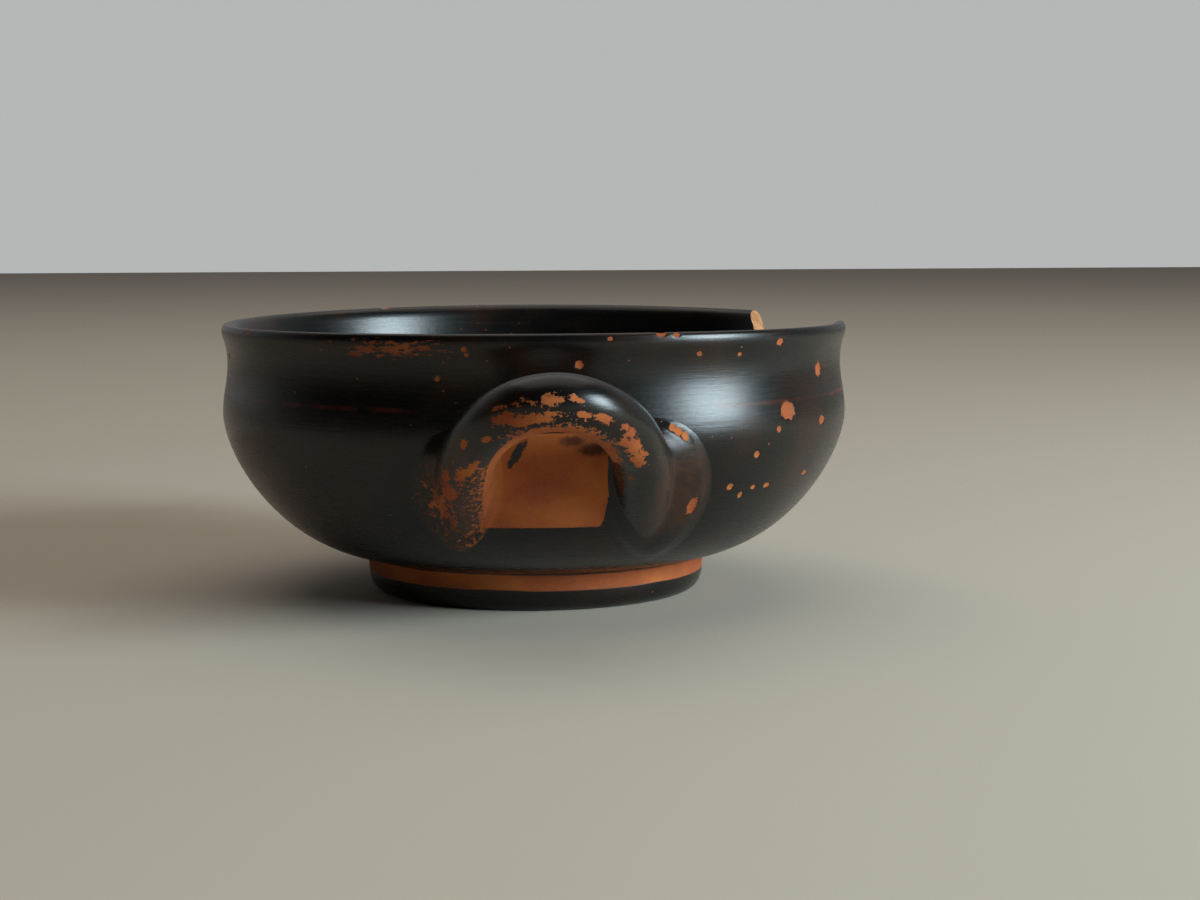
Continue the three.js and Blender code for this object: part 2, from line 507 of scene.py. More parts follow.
def smearRings(side, arounds, ends):
    # rings from the footprint on the wall up to the rod, curving off both surfaces
    rings = [[] for i in range(loop["smearRings"])]
    starts = []
    for around, (end, inward) in zip(arounds, ends):
        width = smearWidth(side, around)
        start = meeting(side, around) + loop["smearReach"] + loop["smearClimb"] * width
        starts.append(start)
        onRod = rodPoint(stationOf(side, start), around)
        further = rodPoint(stationOf(side, start + 0.5), around)
        reach = (onRod - end).length
        leave = inward * reach
        arrive = (further - onRod).normalized() * reach
        off = Vector((end.x, end.y, 0)).normalized()
        for number, ring in enumerate(rings):
            share = number / len(rings)
            point = end.lerp(onRod, smooth(0, 1, share))
            point += leave * share * (1 - share) ** 2 - arrive * share ** 2 * (1 - share)
            pad = loop["padThickness"][side] * min(width / loop["fullPadWidth"], 1)
            pad *= smooth(0, loop["padRise"], share) * (1 - smooth(loop["padFall"], 1, share))
            ring.append(point + off * pad)
    return rings, starts


def addHandle(bm):
    # one tube from wall to wall: smear, slanted rings, rod, slanted rings, smear
    sides = loop["sides"]
    arounds = [360 * i / sides for i in range(sides)]
    halves = {}
    for side in ("leftRoot", "rightRoot"):
        azimuth, height, ends = footprint(side, arounds)
        ring = openRoot(bm, azimuth, height, [end for end, inward in ends])
        relax(bm, ring, azimuth, height)
        rings, starts = smearRings(side, arounds, ends)
        for i in range(loop["slantRings"]):
            share = (i / loop["slantRings"]) ** loop["slantCrowding"]
            rings.append([rodPoint(stationOf(side, start + (loop["slantEnd"] - start) * share), around)
                          for start, around in zip(starts, arounds)])
        halves[side] = rings
    straight = loopLength - 2 * loop["slantEnd"]
    count = round(straight / loop["ringSpacing"])
    middle = [[rodPoint(loop["slantEnd"] + straight * i / count, around) for around in arounds]
              for i in range(count + 1)]
    firstRing = bmesh.ops.create_circle(bm, segments=sides, radius=loop["rodRadius"])["verts"]
    front = firstRing
    for number, ring in enumerate(halves["leftRoot"] + middle + halves["rightRoot"][::-1]):
        if number:
            edges = [bm.edges.get((a, b)) for a, b in zip(front, front[1:] + front[:1])]
            grown = bmesh.ops.extrude_edge_only(bm, edges=edges)["geom"]
            fresh = {v for v in grown if isinstance(v, bmesh.types.BMVert)}
            front = [next(e.other_vert(v) for e in v.link_edges if e.other_vert(v) in fresh) for v in front]
        for v, point in zip(front, ring):
            v.co = point
    seams = firstRing + front + [v for v in bm.verts if v.is_boundary]
    bmesh.ops.remove_doubles(bm, verts=list(dict.fromkeys(seams)), dist=weldDistance)


def turned(bm, angle):
    bmesh.ops.rotate(bm, cent=(0, 0, 0), matrix=Matrix.Rotation(angle, 3, "Z"), verts=bm.verts[:])


# chips in the wall, in degrees from the front handle towards +X and millimetres of height:
# (azimuth, height, width, tall, depth)
chips = [
    (45.5, 40.5, 4.3, 3.4, 0.35), (57.5, 37.6, 2.3, 1.8, 0.2), (57.9, 47.6, 2.6, 2.9, 0.2),
    (4.1, 50.8, 1.7, 1.4, 0.2), (-19.4, 48.2, 1, 1, 0.12), (38, 32.6, 1.4, 1.5, 0.2),
    (33.8, 26.5, 1.5, 1.5, 0.15), (37.4, 24.6, 1.2, 1.3, 0.15), (40, 25.9, 1.4, 0.9, 0.1),
    (43.8, 25.9, 1.8, 1, 0.15), (56.4, 27.1, 1.8, 1.1, 0.1), (42.8, 37.2, 1.4, 1.2, 0.1),
    (26.1, 23.4, 2.2, 3.4, 0.25), (19.5, 39, 1.7, 1.5, 0.15), (20.5, 38.3, 1.9, 1.6, 0.15),
    (21.7, 37.3, 1.7, 1.6, 0.15), (25.2, 52.3, 1.2, 0.9, 0.1), (33.6, 51.9, 1, 0.8, 0.1),
    (18, 56.1, 1.9, 1.1, 0.15), (20.6, 55.8, 1.4, 0.9, 0.1), (9.1, 55.4, 1, 0.8, 0.1),
    (-14.6, 53.6, 1.2, 0.9, 0.1), (-14.3, 52.6, 0.8, 0.8, 0.05), (43.2, 53.8, 2, 1.4, 0.1),
    # the far side and the inside, plainer
    (118, 34, 2.2, 1.8, 0.2), (141, 46.5, 1.4, 1.4, 0.15), (-131, 40.2, 2.4, 3, 0.25),
    (-96, 25.5, 1.6, 1.6, 0.15), (-78, 50, 1.2, 1.4, 0.1), (171, 51.5, 1.5, 1.1, 0.1),
    (-150, 56, 2.2, 1.2, 0.2), (-63, 55.9, 1.4, 1, 0.1), (104, 55.9, 2, 1.2, 0.2),
]

# flaked places on the rod, in millimetres along it and degrees round it: (along, around, length, width)
rodFlakes = [
    (38.1, 337, 2.7, 2.6), (40.8, 341, 1.8, 1.3), (41.6, 337, 1.0, 0.9), (34.6, 345, 0.9, 1.7),
    (34.2, 339, 1.3, 1.1), (31.4, 344, 2.2, 0.9), (35.9, 336, 1.1, 0.8), (31.5, 320, 3.6, 2.6),
    (34.0, 306, 5.0, 2.2), (36.5, 300, 3.6, 2.0), (37.9, 311, 2.8, 1.0), (42.3, 311, 3.0, 1.2),
    (45.4, 315, 2.6, 1.8), (50.2, 316, 2.6, 1.2), (51.8, 311, 3.0, 2.0), (54.5, 303, 2.0, 2.0),
    (55.6, 292, 4.0, 2.8), (58.6, 286, 3.8, 3.4), (61.0, 279, 2.2, 2.2), (52.0, 290, 3.2, 2.0),
    (21.5, 322, 2.4, 1.5), (26.5, 300, 2.6, 1.4), (58.0, 300, 1.2, 0.9), (66.0, 250, 1.2, 2.0),
    (13.0, 292, 6.0, 2.0), (9.0, 318, 5.0, 1.8), (16.5, 276, 7.0, 1.6), (5.0, 300, 5.0, 3.0),
]

# the wall left bare between the roots, its sides in degrees, its bottom and top in millimetres
panel = {
    "left": -13.6, "right": 9.4, "bottom": 20.0, "top": 38.5,
    "reach": 40,  # no mark of the panel lies further round the wall than this
    # slip brushed into it, and patches darkened near its top right: (azimuth, height, width, tall, lean to
    # the right for each mm up)
    "blots": [(-6.2, 34.7, 2.0, 6.4, 0.55)],
    "darkPatches": [(2.9, 37.0, 5.0, 2.2, 0), (6.3, 35.4, 6.0, 2.6, 0)],  # partly darkened, not black
}

# the bare stripe on the inside of the loop: half its width in degrees round the rod, by place along it
reserve = {
    "middle": 192,
    "half": [(-20, 40), (12, 44), (24, 66), (34, 82), (38, 84), (47, 74), (56, 60), (62, 30),
             (66, -20), (100, -60)],
}


# how badly the slip flakes beside the stripe: where it starts and ends along the rod, how badly,
# and over how many degrees away from the stripe it dies out
armWear = {
    "shoulder": {"start": (20, 30), "end": (60, 65), "amount": 0.56, "fade": 120},
    "leftArm": {"start": (-40, -30), "end": (14, 26), "amount": 0.5, "fade": 420},
    "farHandle": {"start": (9, 22), "end": (59, 64), "amount": 0.42, "fade": 200},
}

wear = {
    # slip thinned by the fingers round the roots: an ellipse, the shares of it where it fades
    "leftRoot": {"azimuth": -19, "height": 25.5, "width": 11, "tall": 16, "fade": (0.5, 1.25),
                 "flake": 0.62, "flakeFade": 0.3},
    "rightRoot": {"azimuth": 22, "height": 28, "width": 17, "tall": 22, "fade": (0.7, 1.2), "thin": 0.6},
    "thinAlong": (10, 28),  # and on the left arm, up to here
    "thinAround": (150, 200, 315, 350),
    "rubbedRim": {"azimuth": -28, "height": 53.6, "width": 30, "tall": 4.0, "above": 50},
    "rodStart": (0.1, 1.2),  # over this height off the wall the rod's marks take over from the wall's
    "offWall": 0.25,  # a place this far off the wall is on the rod, or less if it lies beside it
    "besideRod": 1.5,
    "chipRound": (0.55, 1.15),  # shares of a chip over which its dent runs out
    "chipReach": 1.3,  # nothing further off than this many heights, or degrees, belongs to a chip
    "chipTurn": 5,
    "fineCells": 0.9,  # the mesh is finer up to this far round a chip
}


def stepped(knots, value):
    # a value that runs straight from knot to knot
    for (a, valueA), (b, valueB) in zip(knots, knots[1:]):
        if value <= b:
            share = min(max((value - a) / (b - a), 0), 1)
            return valueA + (valueB - valueA) * share
    return knots[-1][1]


stationStep = 0.25
beyond = 64  # stations past each root, inside the wall
loopStations = [i * stationStep for i in range(-beyond, round(loopLength / stationStep) + beyond + 1)]
loopTree = KDTree(len(loopStations))
for i, station in enumerate(loopStations):
    loopTree.insert(loopPoint(station), i)
loopTree.balance()


def rodPlace(point):
    # along and around the rod for a point near it
    nearest, i, distance = loopTree.find(point)
    centre, outward = loopFrame(loopStations[i])
    offset = point - centre
    around = math.degrees(math.atan2(offset.dot(loopNormal), offset.dot(outward))) % 360
    return loopStations[i], around, distance


def turnBetween(a, b):
    return (a - b + 180) % 360 - 180


def ellipse(across, up, width, tall):
    # 0 at the middle, 1 at the outline
    return math.hypot(across / width, up / tall) * 2


def rodMarks(along, around, front):
    # the stripe left bare and the flaking beside it, on the rod and its smears
    half = stepped(reserve["half"], along)
    past = abs(turnBetween(around, reserve["middle"])) - half
    bare = -math.radians(past) * loop["rodRadius"]
    amounts = {name: smooth(*band["start"], along) * (1 - smooth(*band["end"], along))
               * (band["amount"] - past / band["fade"]) for name, band in armWear.items()}
    if not front:
        return bare, amounts["farHandle"]
    if turnBetween(around, reserve["middle"]) < 0:
        return bare, 0
    flake = max(amounts["shoulder"], amounts["leftArm"])
    for place, turn, length, width in rodFlakes:
        if abs(along - place) < length * 1.2:
            across = math.radians(turnBetween(around, turn)) * loop["rodRadius"]
            flake = max(flake, 1 - 0.5 * ellipse(along - place, across, length, width))
    return bare, flake


def insideBlots(blots, azimuth, z):
    # how far inside the nearest blot or darkened patch, in millimetres
    inside = nowhere
    for place, height, width, tall, lean in blots:
        across = (azimuth - place) * perDegree(z) - lean * (z - height)
        inside = max(inside, (1 - ellipse(across, z - height, width, tall)) * min(width, tall) / 2)
    return inside


def wallMarks(azimuth, z, front):
    # the panel between the roots: how far inside its painted edge, in millimetres
    scale = perDegree(z)
    bare = min((azimuth - panel["left"]) * scale, (panel["right"] - azimuth) * scale,
               z - panel["bottom"], panel["top"] - z)
    if not front:
        return bare, nowhere
    return min(bare, -insideBlots(panel["blots"], azimuth, z)), insideBlots(panel["darkPatches"], azimuth, z)


def wallPatch(patch, azimuth, z, radius):
    # how far out a place lies in an elliptical patch of wear: 1 at its outline
    across = (azimuth - patch["azimuth"]) * math.radians(radius)
    return ellipse(across, z - patch["height"], patch["width"], patch["tall"])


def addFields(bm):
    # what the slip is like at every vertex, for the material to read
    names = ("bare", "darkPatch", "flake", "rubbed", "thin", "unlined")
    fields = {name: bm.verts.layers.float.new(name) for name in names}
    rod = bm.verts.layers.float_vector.new("rod")
    bm.normal_update()
    half = Matrix.Rotation(math.pi, 3, "Z")
    left, right, rim = wear["leftRoot"], wear["rightRoot"], wear["rubbedRim"]
    backOn, fullOn, fullOff, backOff = wear["thinAround"]
    for v in bm.verts:
        z, radius, azimuth = v.co.z, math.hypot(v.co.x, v.co.y), azimuthOf(v.co)
        front = abs(azimuth) < 90
        local = v.co if front else half @ v.co
        outer = z < cup["jointHeight"] or radius > wallRadius(z) - cup["bellyThickness"] * 0.4
        bare, darkPatch, flake, rubbed, thin = nowhere, nowhere, 0, 0, 0
        onRod = 0 if outer else 1  # the scraped line runs on neither the rod nor the inside
        if outer and z > cup["jointHeight"]:
            localAzimuth = azimuthOf(local)
            above = radius - wallRadius(z)
            along, around, distance = rodPlace(local)
            if abs(localAzimuth) < panel["reach"]:
                bare, darkPatch = wallMarks(localAzimuth, z, front)
            nearRod = distance < loop["rodRadius"] + wear["besideRod"]
            if above > wear["offWall"] or (nearRod and above > wear["rodStart"][0]):
                onRod = smooth(*wear["rodStart"], above)
                stripe, flake = rodMarks(along, around, front)
                bare = stripe if onRod > 0.5 else max(bare, stripe)
                darkPatch = darkPatch if onRod < 0.5 else nowhere
                turn = math.radians(around)
                v[rod] = (along, loop["rodRadius"] * math.cos(turn), loop["rodRadius"] * math.sin(turn))
                thin = 1 - smooth(*wear["thinAlong"], along)
                thin *= smooth(backOn, fullOn, around) * (1 - smooth(fullOff, backOff, around))
            if front and azimuth < 0:
                reach = wallPatch(left, azimuth, z, wallRadius(z))
                thin = max(thin, 1 - smooth(*left["fade"], reach))
                flake = max(flake, left["flake"] - left["flakeFade"] * reach)
            elif front and above > wear["rodStart"][0]:
                reach = wallPatch(right, azimuth, z, wallRadius(z))
                thin = max(thin, right["thin"] * (1 - smooth(*right["fade"], reach)))
        if outer:
            for place, height, width, tall, depth in chips:
                turn = turnBetween(azimuth, place)
                if abs(z - height) < tall * wear["chipReach"] and abs(turn) < wear["chipTurn"]:
                    across = turn * math.radians(radius)
                    reach = ellipse(across, z - height, width, tall)
                    flake = max(flake, 1.5 - reach)
                    v.co -= v.normal * depth * (1 - smooth(*wear["chipRound"], reach))
            if z > rim["above"]:
                rubbed = max(0, 1 - 0.5 * wallPatch(rim, azimuth, z, radius))
        for name, value in zip(names, (bare, darkPatch, flake, rubbed, thin, onRod)):
            v[fields[name]] = value


def refine(bm):
    # finer cells where the wall is chipped
    edges = {}  # a dictionary, as a set has no fixed order
    for face in bm.faces:
        centre = face.calc_center_median()
        scale = perDegree(max(centre.z, cup["floorHeight"]))
        if math.hypot(centre.x, centre.y) < math.degrees(scale) - 1.2:
            continue
        azimuth = azimuthOf(centre)
        for place, height, width, tall, depth in chips:
            across = turnBetween(azimuth, place) * scale
            up = centre.z - height
            if abs(across) < width / 2 + wear["fineCells"] and abs(up) < tall / 2 + wear["fineCells"]:
                edges.update(dict.fromkeys(face.edges))
    bmesh.ops.subdivide_edges(bm, edges=list(edges), cuts=2, use_grid_fill=True)
    # the new points go back onto the round wall
    for v in bm.verts:
        radius = math.hypot(v.co.x, v.co.y)
        if 12 < v.co.z < 56 and 0.0005 < abs(radius - wallRadius(v.co.z)) < 0.06:
            v.co.xy = v.co.xy.normalized() * wallRadius(v.co.z)


def settle(bm):
    # throwing ridges, and the rim pulled out of true as the clay dried, high over the handles
    for v in bm.verts:
        radius = math.hypot(v.co.x, v.co.y)
        if v.co.z > cup["jointHeight"] and radius > cup["ridgesFrom"]:
            ridge = noise.noise(Vector((v.co.x / cup["ridgeLength"], v.co.y / cup["ridgeLength"],
                                        v.co.z / cup["ridgeSpacing"])))
            v.co.xy *= 1 - cup["ridgeDepth"] * (0.5 + 0.5 * ridge) / radius
        share = (v.co.z - cup["warpStart"]) / (cup["rimHeight"] - cup["warpStart"])
        if share > 0 and not isOnRod(v.co):
            v.co.z -= cup["rimWarp"] * share ** 2 * math.cos(2 * math.atan2(v.co.y, v.co.x))


def isOnRod(point):
    return math.hypot(point.x, point.y) > wallRadius(point.z) + 0.4


print("bowl: spinning and breaking")
bm = brokenBowl()
print("bowl:", len(bm.faces), "faces")
for name in ("front", "back"):
    addHandle(bm)
    turned(bm, math.pi)
    print(name, "handle:", len(bm.faces), "faces")
refine(bm)
addFields(bm)
settle(bm)
bmesh.ops.recalc_face_normals(bm, faces=bm.faces[:])
for face in bm.faces:
    face.smooth = True
for edge in bm.edges:
    edge.smooth = edge.is_manifold and edge.calc_face_angle() < math.radians(40)
triangles = sum(len(face.verts) - 2 for face in bm.faces)
print("finished:", triangles, "triangles,", sum(not e.is_manifold for e in bm.edges), "open edges")
piece = toObject(bm, "stemless_kylix", toMetres)
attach(piece, "root")
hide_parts("cup")


def linear(hexColour):
    channels = [int(hexColour[i:i + 2], 16) / 255 for i in (1, 3, 5)]
    return [c / 12.92 if c <= 0.04045 else ((c + 0.055) / 1.055) ** 2.4 for c in channels] + [1]


def addNode(tree, kind, settings=(), links=()):
    # adds a node; a link may be a value, a node (its first live output) or a socket
    node = tree.nodes.new("ShaderNode" + kind)
    for name, value in dict(settings).items():
        setattr(node, name, value)
    for name, value in dict(links).items():
        if isinstance(value, bpy.types.Node):
            value = next(output for output in value.outputs if output.enabled)
        if isinstance(value, bpy.types.NodeSocket):
            tree.links.new(value, node.inputs[name])
        else:
            node.inputs[name].default_value = value
    return node


def newMaterial(name):
    material = bpy.data.materials.get(name) or bpy.data.materials.new(name)
    material.use_nodes = True
    material.node_tree.nodes.clear()
    return material, material.node_tree


# Black gloss on fired clay: an iron-rich slip, brushed on, burnished and fired black. It is nearly
# black with a soft sheen, brown where it lies thin, and shows orange clay where it is gone.
# Noise patterns average 0.5, so each range below is the wanted edge plus half of what they add.
gloss = {
    "black": linear("#0c0b0a"),
    "brown": linear("#21130a"),
    "thin": linear("#43240f"),
    # darkens the clay in the patches near the panel's top right
    "darkPatch": linear("#3a1a0d"),
    "clay": linear("#b05c24"),
    "redClay": linear("#923f18"),
    "paleClay": linear("#b9804f"),
    "groove": linear("#4f1b12"),
    "sheen": (0.2, 0.34),  # burnished slip
    "worn": 0.5,  # where it is thin
    "matt": 0.85,  # bare clay
    "footBand": (4.2, 4.5, 7.35, 7.75),  # heights in millimetres between which the foot is bare
    "bandWobble": 0.8,
    "shake": 0.4,  # of the brush along a painted edge, in millimetres
    "tear": {"coarse": 1.5, "fine": 0.5, "drawn": 0.7},  # how ragged a flaked edge is
    "rubbing": 2.2,
    # relief in millimetres
    "slipDepth": 0.04,
    "brushDepth": 0.03,
    "crackleDepth": 0.003,
    "grainDepth": 0.01,
    "clayGrainDepth": 0.06,
}


def blackGloss():
    material, tree = newMaterial(finishes[0])
    add = {"operation": "ADD"}
    multiply = {"operation": "MULTIPLY"}
    multiplyAdd = {"operation": "MULTIPLY_ADD"}
    larger = {"operation": "MAXIMUM"}
    soft = {"interpolation_type": "SMOOTHSTEP"}
    colours = {"data_type": "RGBA"}

    position = addNode(tree, "TexCoord").outputs["Object"]
    place = addNode(tree, "Mapping", links={"Vector": position, "Scale": [1 / toMetres] * 3})
    height = addNode(tree, "SeparateXYZ", links={"Vector": place}).outputs["Z"]
    fields = {name: addNode(tree, "Attribute", {"attribute_name": name}).outputs["Fac"]
              for name in ("bare", "darkPatch", "flake", "rubbed", "thin", "unlined")}
    alongRod = addNode(tree, "Attribute", {"attribute_name": "rod"}).outputs["Vector"]

    # flakes break off in ragged patches of about 1 mm with a finer torn edge
    ragged = addNode(tree, "TexNoise", links={"Vector": place, "Scale": 0.95, "Detail": 7, "Roughness": 0.7})
    fine = addNode(tree, "TexNoise", links={"Vector": place, "Scale": 3.2, "Detail": 3, "Roughness": 0.6})
    broad = addNode(tree, "TexNoise", links={"Vector": place, "Scale": 0.07, "Detail": 3})
    # the wheel drags the brush, so streaks run level: 14 mm long and under 1 mm high
    level = addNode(tree, "Mapping", links={"Vector": place, "Scale": (0.07, 0.07, 1.6)})
    streaks = addNode(tree, "TexNoise", links={"Vector": level, "Scale": 1, "Detail": 6, "Roughness": 0.7})
    # on the handles they run along the rod, 7 mm long
    drawn = addNode(tree, "Mapping", links={"Vector": alongRod, "Scale": (0.14, 1.1, 1.1)})
    rodStreaks = addNode(tree, "TexNoise", links={"Vector": drawn, "Scale": 1, "Detail": 5, "Roughness": 0.7})
    # wear under the rim is in dots and dashes, 2.5 mm long and half a millimetre high
    dashed = addNode(tree, "Mapping", links={"Vector": place, "Scale": (0.4, 0.4, 1.7)})
    dashes = addNode(tree, "TexNoise", links={"Vector": dashed, "Scale": 1, "Detail": 5, "Roughness": 0.75})

    # left bare: the panel and the inside of the loop, then the band round the foot
    edge = addNode(tree, "Math", multiplyAdd, {0: ragged, 1: gloss["shake"], 2: fields["bare"]})
    bare = addNode(tree, "MapRange", soft, {
        "Value": edge, "From Min": gloss["shake"] / 2 - 0.1, "From Max": gloss["shake"] / 2 + 0.1})
    low, lowEnd, high, highEnd = [line + gloss["bandWobble"] / 2 for line in gloss["footBand"]]
    wobble = addNode(tree, "Math", multiplyAdd, {0: broad, 1: gloss["bandWobble"], 2: height})
    bandFoot = addNode(tree, "MapRange", soft, {"Value": wobble, "From Min": low, "From Max": lowEnd})
    bandTop = addNode(tree, "MapRange", soft, {"Value": wobble, "From Min": highEnd, "From Max": high})
    band = addNode(tree, "Math", multiply, {0: bandFoot, 1: bandTop})
    unpainted = addNode(tree, "Math", larger, {0: bare, 1: band})

    # flaked off: the field says how badly, the noises tear its edge
    tear = gloss["tear"]
    torn = addNode(tree, "Math", multiplyAdd, {0: rodStreaks, 1: tear["drawn"], 2: fields["flake"]})
    torn = addNode(tree, "Math", multiplyAdd, {0: fine, 1: tear["fine"], 2: torn})
    torn = addNode(tree, "Math", multiplyAdd, {0: ragged, 1: tear["coarse"], 2: torn})
    tornMiddle = sum(tear.values()) / 2
    flaked = addNode(tree, "MapRange", soft, {
        "Value": torn, "From Min": tornMiddle + 0.49, "From Max": tornMiddle + 0.54})
    rub = addNode(tree, "Math", multiplyAdd, {0: dashes, 1: gloss["rubbing"], 2: fields["rubbed"]})
    rubbed = addNode(tree, "MapRange", soft, {
        "Value": rub, "From Min": gloss["rubbing"] / 2 + 0.72, "From Max": gloss["rubbing"] / 2 + 0.82,
        "To Max": 0.8})
    # lost specks, a few in each square centimetre and a few tenths of a millimetre across
    pits = addNode(tree, "TexVoronoi", links={"Vector": place, "Scale": 0.5})
    chance = addNode(tree, "SeparateXYZ", links={"Vector": pits.outputs["Color"]}).outputs["X"]
    picked = addNode(tree, "MapRange", soft, {"Value": chance, "From Min": 0.86, "From Max": 0.87})
    speck = addNode(tree, "MapRange", soft, {
        "Value": pits.outputs["Distance"], "From Min": 0.11, "From Max": 0.06, "To Max": 0.8})
    pit = addNode(tree, "Math", multiply, {0: speck, 1: picked})
    lost = addNode(tree, "Math", larger, {0: rubbed, 1: pit})
    lost = addNode(tree, "Math", larger, {0: flaked, 1: lost})
    clayShown = addNode(tree, "Math", larger, {0: unpainted, 1: lost})

    # the line scraped round the outside, showing dark red here and there
    offLine = addNode(tree, "Math", add, {0: height, 1: -cup["grooveHeight"]})
    offLine = addNode(tree, "Math", {"operation": "ABSOLUTE"}, {0: offLine})
    line = addNode(tree, "MapRange", soft, {"Value": offLine, "From Min": 0.6, "From Max": 0.1})
    patchy = addNode(tree, "TexNoise", links={"Vector": place, "Scale": 0.09, "Detail": 5, "Roughness": 0.6})
    patches = addNode(tree, "MapRange", soft, {"Value": patchy, "From Min": 0.4, "From Max": 0.6})
    lined = addNode(tree, "MapRange", soft, {
        "Value": fields["unlined"], "From Min": 0.1, "From Max": 0, "To Max": 0.85})
    line = addNode(tree, "Math", multiply, {0: line, 1: patches})
    line = addNode(tree, "Math", multiply, {0: line, 1: lined})

    # the slip: black, brown in broad clouds and browner where fingers thinned it
    clouds = addNode(tree, "MapRange", soft, {"Value": broad, "From Min": 0.45, "From Max": 0.7})
    slip = addNode(tree, "Mix", colours, {0: clouds, 6: gloss["black"], 7: gloss["brown"]})
    smeared = addNode(tree, "Math", multiplyAdd, {0: ragged, 1: 0.3, 2: rodStreaks})
    smeared = addNode(tree, "MapRange", soft, {"Value": smeared, "From Min": 0.45, "From Max": 0.77})
    thin = addNode(tree, "Math", multiply, {0: fields["thin"], 1: smeared})
    slip = addNode(tree, "Mix", colours, {0: thin, 6: slip, 7: gloss["thin"]})
    slip = addNode(tree, "Mix", colours, {0: line, 6: slip, 7: gloss["groove"]})

    # the clay: redder in clouds, paler in its grain, darkened in patches near the panel's top right
    clouds = addNode(tree, "MapRange", soft, {"Value": broad, "From Min": 0.35, "From Max": 0.65})
    clay = addNode(tree, "Mix", colours, {0: clouds, 6: gloss["clay"], 7: gloss["redClay"]})
    pale = addNode(tree, "Math", multiplyAdd, {0: fine, 1: 0.6, 2: -0.2})
    clay = addNode(tree, "Mix", colours, {0: pale, 6: clay, 7: gloss["paleClay"]})
    darkPatch = addNode(tree, "Math", multiplyAdd, {0: ragged, 1: 1.2, 2: fields["darkPatch"]})
    darkPatch = addNode(tree, "MapRange", soft, {"Value": darkPatch, "From Min": 0.1, "From Max": 1.2, "To Max": 0.85})
    clay = addNode(tree, "Mix", colours, {0: darkPatch, 6: clay, 7: gloss["darkPatch"]})
    colour = addNode(tree, "Mix", colours, {0: clayShown, 6: slip, 7: clay})

    polished, brushed = gloss["sheen"]
    sheen = addNode(tree, "Math", multiplyAdd, {0: streaks, 1: brushed - polished, 2: polished})
    sheen = addNode(tree, "Mix", links={0: thin, 2: sheen, 3: gloss["worn"]})
    roughness = addNode(tree, "Mix", links={0: clayShown, 2: sheen, 3: gloss["matt"]})

    # relief in millimetres: grain of the clay, slip edge, brush streaks, crackle, grain of the slip
    cells = addNode(tree, "TexVoronoi", {"feature": "DISTANCE_TO_EDGE"}, {"Vector": place, "Scale": 1.1})
    crackle = addNode(tree, "MapRange", soft, {"Value": cells, "From Min": 0, "From Max": 0.09})
    clayGrain = addNode(tree, "Math", multiplyAdd, {
        0: fine, 1: gloss["clayGrainDepth"], 2: -gloss["slipDepth"]})
    relief = addNode(tree, "Math", multiply, {0: clayShown, 1: clayGrain})
    relief = addNode(tree, "Math", multiplyAdd, {0: streaks, 1: gloss["brushDepth"], 2: relief})
    relief = addNode(tree, "Math", multiplyAdd, {0: crackle, 1: gloss["crackleDepth"], 2: relief})
    relief = addNode(tree, "Math", multiplyAdd, {0: fine, 1: gloss["grainDepth"], 2: relief})
    bump = addNode(tree, "Bump", links={"Height": relief, "Distance": toMetres, "Strength": 1})
    shader = addNode(tree, "BsdfPrincipled", links={
        "Base Color": colour, "Roughness": roughness, "Normal": bump, "IOR": 1.5, "Specular IOR Level": 0.42})
    addNode(tree, "OutputMaterial", links={"Surface": shader})
    return material


# fired clay torn across: dry and granular, patched paler and redder by the fire
tornClay = {
    "red": linear("#a9622f"),
    "pale": linear("#dba67a"),
    "spread": (0.32, 0.68),
    "roughness": 0.9,
    "grainDepth": 0.00025,
}


def brokenClay():
    material, tree = newMaterial(finishes[1])
    position = addNode(tree, "TexCoord").outputs["Object"]
    place = addNode(tree, "Mapping", links={"Vector": position, "Scale": [1 / toMetres] * 3})
    # patches of about 2 mm and grains of 0.3 mm
    patches = addNode(tree, "TexNoise", links={"Vector": place, "Scale": 0.5, "Detail": 6, "Roughness": 0.7})
    grain = addNode(tree, "TexNoise", links={"Vector": place, "Scale": 3.5, "Detail": 4, "Roughness": 0.7})
    low, high = tornClay["spread"]
    share = addNode(tree, "MapRange", links={"Value": patches, "From Min": low, "From Max": high})
    colour = addNode(tree, "Mix", {"data_type": "RGBA"}, {0: share, 6: tornClay["red"], 7: tornClay["pale"]})
    bump = addNode(tree, "Bump", links={"Height": grain, "Distance": tornClay["grainDepth"], "Strength": 1})
    shader = addNode(tree, "BsdfPrincipled", links={
        "Base Color": colour, "Roughness": tornClay["roughness"], "Normal": bump})
    addNode(tree, "OutputMaterial", links={"Surface": shader})
    return material


stage = {
    "floor": linear("#cdc1b0"),
    "floorHalf": 2500,
    "window": {"azimuth": 62, "elevation": 17, "distance": 1.1, "width": 0.42, "height": 0.5,
               "power": 17, "colour": "#e1f6ff"},
    "softbox": {"azimuth": 180, "elevation": 78, "distance": 1.5, "width": 1.8, "height": 1.8,
                "power": 8, "colour": "#fff6ea"},
    "backdrop": linear("#b6b7b7"),
    "wallGlow": 0.3,  # of the pale wall behind the cup
    "roomGlow": 0.015,  # of the dim room behind the camera
}


def plainFloor():
    # matt emulsion paint, rolled on board: even, pale and without a sheen
    material, tree = newMaterial("rolledMattPaint")
    shader = addNode(tree, "BsdfPrincipled", links={"Base Color": stage["floor"], "Roughness": 0.9})
    addNode(tree, "OutputMaterial", links={"Surface": shader})
    return material


piece.data.materials.append(blackGloss())
piece.data.materials.append(brokenClay())
print("cup: glazed and broken clay made")

floorMesh = bmesh.new()
bmesh.ops.create_grid(floorMesh, x_segments=1, y_segments=1, size=stage["floorHalf"])
floor = toObject(floorMesh, "floor", toMetres)
floor.data.materials.append(plainFloor())


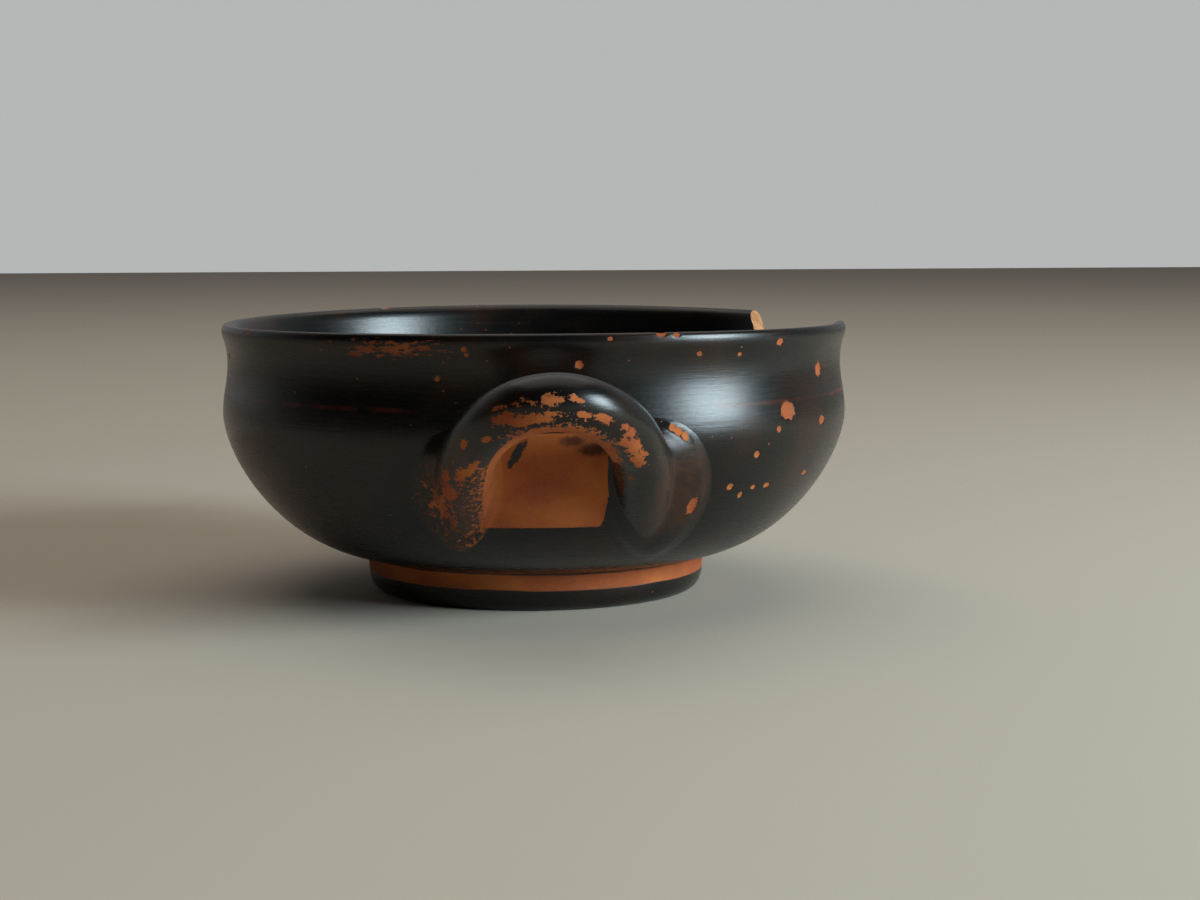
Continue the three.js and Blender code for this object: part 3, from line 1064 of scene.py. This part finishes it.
def addWindow(name, spec):
    # a soft rectangle of light, azimuth in degrees from the front towards +X, aimed at the cup
    light = bpy.data.lights.new(name, "AREA")
    light.shape = "RECTANGLE"
    light.size, light.size_y = spec["width"], spec["height"]
    light.energy = spec["power"]
    light.color = linear(spec["colour"])[:3]
    window = bpy.data.objects.new(name, light)
    azimuth, elevation = math.radians(spec["azimuth"]), math.radians(spec["elevation"])
    level = math.cos(elevation)
    direction = Vector((level * math.sin(azimuth), -level * math.cos(azimuth), math.sin(elevation)))
    window.location = direction * spec["distance"]
    aim = Vector((0, 0, cupHigh.z / 2)) - window.location
    window.rotation_euler = aim.to_track_quat("-Z", "Y").to_euler()
    window.visible_camera = False
    bpy.context.scene.collection.objects.link(window)


for name in ("window", "softbox"):
    addWindow(name, stage[name])

# the room: a glow that rises towards the wall behind the cup, and an even backdrop
world = bpy.data.worlds.new("studio")
bpy.context.scene.world = world
world.use_nodes = True
world.node_tree.nodes.clear()
sky = world.node_tree
direction = addNode(sky, "SeparateXYZ", links={"Vector": addNode(sky, "TexCoord").outputs["Generated"]})
glow = addNode(sky, "MapRange", {"interpolation_type": "SMOOTHSTEP"}, {
    "Value": direction.outputs["Y"], "From Min": -0.1, "From Max": 0.75,
    "To Min": stage["roomGlow"], "To Max": stage["wallGlow"]})
seen = addNode(sky, "LightPath").outputs["Is Camera Ray"]
shown = addNode(sky, "Mix", {"data_type": "RGBA"}, {0: seen, 6: glow, 7: stage["backdrop"]})
background = addNode(sky, "Background", links={"Color": shown})
addNode(sky, "OutputWorld", links={"Surface": background})

# place in metres, turns in degrees, lens in millimetres on a 36 mm sensor
eye = {"place": (-0.02634, -0.4711, 0.07894), "pan": -4.86, "tilt": -6.101, "roll": -0.176,
       "lens": 67.27, "sensor": 36}
camera = bpy.data.objects.new("camera", bpy.data.cameras.new("camera"))
bpy.context.scene.collection.objects.link(camera)
camera.data.sensor_width = eye["sensor"]
camera.data.lens = eye["lens"]
turn = Matrix.Rotation(math.radians(eye["pan"]), 3, "Z")
turn @= Matrix.Rotation(math.radians(90 + eye["tilt"]), 3, "X")
turn @= Matrix.Rotation(math.radians(eye["roll"]), 3, "Z")
camera.location = eye["place"]
camera.rotation_euler = turn.to_euler()
bpy.context.scene.camera = camera
bpy.context.scene.view_settings.view_transform = "Standard"
